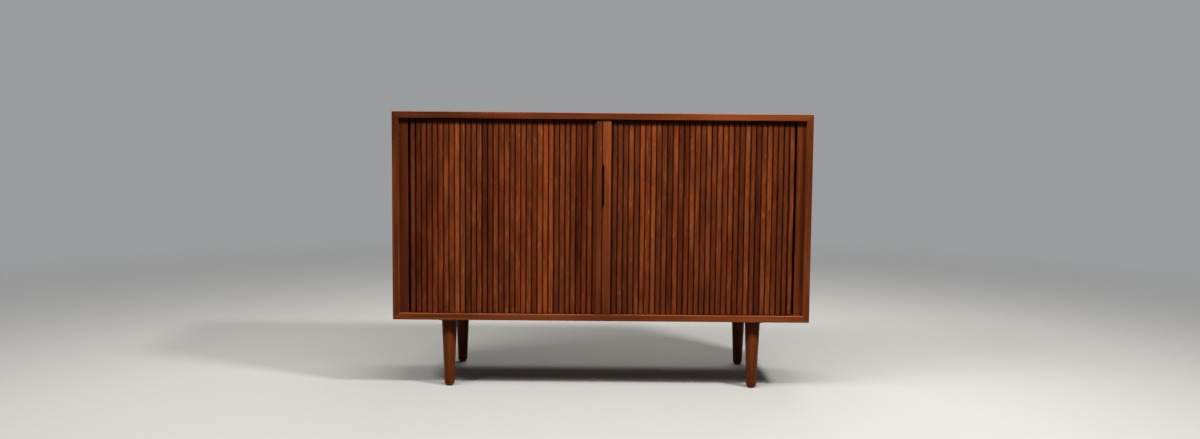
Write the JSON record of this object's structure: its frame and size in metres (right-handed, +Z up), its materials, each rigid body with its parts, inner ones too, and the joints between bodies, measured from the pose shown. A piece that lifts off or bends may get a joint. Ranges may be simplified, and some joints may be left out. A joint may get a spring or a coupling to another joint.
{
  "type": "tambour door cabinet",
  "caption": "Low walnut cabinet on turned tapered legs, with two slatted tambour doors that slide apart in a track round the inside of the case; shelves and a divider inside.",
  "frame": {"origin": "on the floor under the middle of the case", "axes": "+Z up, the doors face -Y, +X to the right of someone who faces the doors"},
  "size_m": [1.168, 0.406, 0.776],
  "materials": {
    "walnut_case": "oiled and rubbed walnut veneer with solid edges",
    "walnut_slats": "oiled solid walnut, mixed tones",
    "walnut_stiles": "oiled solid walnut",
    "walnut_legs": "turned and oiled walnut",
    "walnut_lining": "walnut veneer, matt",
    "plywood": "sanded plywood",
    "black_steel": "black lacquered pressed steel",
    "brass": "turned brass",
    "black_plastic": "moulded plastic"
  },
  "bodies": {
    "case": {"top_panel": "walnut_case", "bottom_panel": "walnut_case", "left_side_panel": "walnut_case", "right_side_panel": "walnut_case", "left_corner_post": "walnut_case", "right_corner_post": "walnut_case", "back_panel": "plywood", "left_inner_side": "walnut_lining", "right_inner_side": "walnut_lining", "inner_back": "walnut_lining", "centre_divider": "walnut_lining", "left_shelf": "walnut_lining", "right_shelf": "walnut_lining", "left_shelf_pin_inner_front": "brass", "left_shelf_pin_inner_rear": "brass", "left_shelf_pin_outer_front": "brass", "left_shelf_pin_outer_rear": "brass", "right_shelf_pin_inner_front": "brass", "right_shelf_pin_inner_rear": "brass", "right_shelf_pin_outer_front": "brass", "right_shelf_pin_outer_rear": "brass", "front_left_leg": "walnut_legs", "front_right_leg": "walnut_legs", "rear_left_leg": "walnut_legs", "rear_right_leg": "walnut_legs", "front_left_leg_plate": "black_steel", "front_right_leg_plate": "black_steel", "rear_left_leg_plate": "black_steel", "rear_right_leg_plate": "black_steel", "front_left_glide": "black_plastic", "front_right_glide": "black_plastic", "rear_left_glide": "black_plastic", "rear_right_glide": "black_plastic"},
    "left_lead": {"left_lead_stile": "walnut_stiles"},
    "left_section_01": {"left_tambour_section_01": "walnut_slats"},
    "left_section_02": {"left_tambour_section_02": "walnut_slats"},
    "left_section_03": {"left_tambour_section_03": "walnut_slats"},
    "left_section_04": {"left_tambour_section_04": "walnut_slats"},
    "left_section_05": {"left_tambour_section_05": "walnut_slats"},
    "left_section_06": {"left_tambour_section_06": "walnut_slats"},
    "left_section_07": {"left_tambour_section_07": "walnut_slats"},
    "left_section_08": {"left_tambour_section_08": "walnut_slats"},
    "left_section_09": {"left_tambour_section_09": "walnut_slats"},
    "left_section_10": {"left_tambour_section_10": "walnut_slats"},
    "left_section_11": {"left_tambour_section_11": "walnut_slats"},
    "right_lead": {"right_lead_stile": "walnut_stiles"},
    "right_section_01": {"right_tambour_section_01": "walnut_slats"},
    "right_section_02": {"right_tambour_section_02": "walnut_slats"},
    "right_section_03": {"right_tambour_section_03": "walnut_slats"},
    "right_section_04": {"right_tambour_section_04": "walnut_slats"},
    "right_section_05": {"right_tambour_section_05": "walnut_slats"},
    "right_section_06": {"right_tambour_section_06": "walnut_slats"},
    "right_section_07": {"right_tambour_section_07": "walnut_slats"},
    "right_section_08": {"right_tambour_section_08": "walnut_slats"},
    "right_section_09": {"right_tambour_section_09": "walnut_slats"},
    "right_section_10": {"right_tambour_section_10": "walnut_slats"},
    "right_section_11": {"right_tambour_section_11": "walnut_slats"}
  },
  "joints": [
    {"name": "left_door_slide", "type": "slide", "parent": "case", "child": "left_lead", "axis": [-1, 0, 0], "range_m": [0, 0.516]},
    {"name": "left_section_01_slide", "type": "slide", "parent": "case", "child": "left_section_01", "axis": [-1, 0, 0], "range_m": [0, 0.4924], "deforming": ["left_tambour_section_01"]},
    {"name": "left_section_02_slide", "type": "slide", "parent": "case", "child": "left_section_02", "axis": [-1, 0, 0], "range_m": [0, 0.4462], "deforming": ["left_tambour_section_02"]},
    {"name": "left_section_03_slide", "type": "slide", "parent": "case", "child": "left_section_03", "axis": [-1, 0, 0], "range_m": [0, 0.4], "deforming": ["left_tambour_section_03"]},
    {"name": "left_section_04_slide", "type": "slide", "parent": "case", "child": "left_section_04", "axis": [-1, 0, 0], "range_m": [0, 0.3538], "deforming": ["left_tambour_section_04"]},
    {"name": "left_section_05_slide", "type": "slide", "parent": "case", "child": "left_section_05", "axis": [-1, 0, 0], "range_m": [0, 0.3076], "deforming": ["left_tambour_section_05"]},
    {"name": "left_section_06_slide", "type": "slide", "parent": "case", "child": "left_section_06", "axis": [-1, 0, 0], "range_m": [0, 0.2614], "deforming": ["left_tambour_section_06"]},
    {"name": "left_section_07_slide", "type": "slide", "parent": "case", "child": "left_section_07", "axis": [-1, 0, 0], "range_m": [0, 0.2152], "deforming": ["left_tambour_section_07"]},
    {"name": "left_section_08_slide", "type": "slide", "parent": "case", "child": "left_section_08", "axis": [-1, 0, 0], "range_m": [0, 0.169], "deforming": ["left_tambour_section_08"]},
    {"name": "left_section_09_slide", "type": "slide", "parent": "case", "child": "left_section_09", "axis": [-1, 0, 0], "range_m": [0, 0.1228], "deforming": ["left_tambour_section_09"]},
    {"name": "left_section_10_slide", "type": "slide", "parent": "case", "child": "left_section_10", "axis": [-1, 0, 0], "range_m": [0, 0.0766], "deforming": ["left_tambour_section_10"]},
    {"name": "left_section_11_slide", "type": "slide", "parent": "case", "child": "left_section_11", "axis": [-1, 0, 0], "range_m": [0, 0.0304], "deforming": ["left_tambour_section_11"]},
    {"name": "right_door_slide", "type": "slide", "parent": "case", "child": "right_lead", "axis": [1, 0, 0], "range_m": [0, 0.516]},
    {"name": "right_section_01_slide", "type": "slide", "parent": "case", "child": "right_section_01", "axis": [1, 0, 0], "range_m": [0, 0.4924], "deforming": ["right_tambour_section_01"]},
    {"name": "right_section_02_slide", "type": "slide", "parent": "case", "child": "right_section_02", "axis": [1, 0, 0], "range_m": [0, 0.4462], "deforming": ["right_tambour_section_02"]},
    {"name": "right_section_03_slide", "type": "slide", "parent": "case", "child": "right_section_03", "axis": [1, 0, 0], "range_m": [0, 0.4], "deforming": ["right_tambour_section_03"]},
    {"name": "right_section_04_slide", "type": "slide", "parent": "case", "child": "right_section_04", "axis": [1, 0, 0], "range_m": [0, 0.3538], "deforming": ["right_tambour_section_04"]},
    {"name": "right_section_05_slide", "type": "slide", "parent": "case", "child": "right_section_05", "axis": [1, 0, 0], "range_m": [0, 0.3076], "deforming": ["right_tambour_section_05"]},
    {"name": "right_section_06_slide", "type": "slide", "parent": "case", "child": "right_section_06", "axis": [1, 0, 0], "range_m": [0, 0.2614], "deforming": ["right_tambour_section_06"]},
    {"name": "right_section_07_slide", "type": "slide", "parent": "case", "child": "right_section_07", "axis": [1, 0, 0], "range_m": [0, 0.2152], "deforming": ["right_tambour_section_07"]},
    {"name": "right_section_08_slide", "type": "slide", "parent": "case", "child": "right_section_08", "axis": [1, 0, 0], "range_m": [0, 0.169], "deforming": ["right_tambour_section_08"]},
    {"name": "right_section_09_slide", "type": "slide", "parent": "case", "child": "right_section_09", "axis": [1, 0, 0], "range_m": [0, 0.1228], "deforming": ["right_tambour_section_09"]},
    {"name": "right_section_10_slide", "type": "slide", "parent": "case", "child": "right_section_10", "axis": [1, 0, 0], "range_m": [0, 0.0766], "deforming": ["right_tambour_section_10"]},
    {"name": "right_section_11_slide", "type": "slide", "parent": "case", "child": "right_section_11", "axis": [1, 0, 0], "range_m": [0, 0.0304], "deforming": ["right_tambour_section_11"]}
  ],
  "couplings": [
    {"joint": "left_section_01_slide", "follows": "left_door_slide", "ratio": 0.9539},
    {"joint": "left_section_02_slide", "follows": "left_door_slide", "ratio": 0.8644},
    {"joint": "left_section_03_slide", "follows": "left_door_slide", "ratio": 0.7749},
    {"joint": "left_section_04_slide", "follows": "left_door_slide", "ratio": 0.6853},
    {"joint": "left_section_05_slide", "follows": "left_door_slide", "ratio": 0.5958},
    {"joint": "left_section_06_slide", "follows": "left_door_slide", "ratio": 0.5063},
    {"joint": "left_section_07_slide", "follows": "left_door_slide", "ratio": 0.4168},
    {"joint": "left_section_08_slide", "follows": "left_door_slide", "ratio": 0.3273},
    {"joint": "left_section_09_slide", "follows": "left_door_slide", "ratio": 0.2377},
    {"joint": "left_section_10_slide", "follows": "left_door_slide", "ratio": 0.1482},
    {"joint": "left_section_11_slide", "follows": "left_door_slide", "ratio": 0.0587},
    {"joint": "right_section_01_slide", "follows": "right_door_slide", "ratio": 0.9539},
    {"joint": "right_section_02_slide", "follows": "right_door_slide", "ratio": 0.8644},
    {"joint": "right_section_03_slide", "follows": "right_door_slide", "ratio": 0.7749},
    {"joint": "right_section_04_slide", "follows": "right_door_slide", "ratio": 0.6853},
    {"joint": "right_section_05_slide", "follows": "right_door_slide", "ratio": 0.5958},
    {"joint": "right_section_06_slide", "follows": "right_door_slide", "ratio": 0.5063},
    {"joint": "right_section_07_slide", "follows": "right_door_slide", "ratio": 0.4168},
    {"joint": "right_section_08_slide", "follows": "right_door_slide", "ratio": 0.3273},
    {"joint": "right_section_09_slide", "follows": "right_door_slide", "ratio": 0.2377},
    {"joint": "right_section_10_slide", "follows": "right_door_slide", "ratio": 0.1482},
    {"joint": "right_section_11_slide", "follows": "right_door_slide", "ratio": 0.0587}
  ]
}
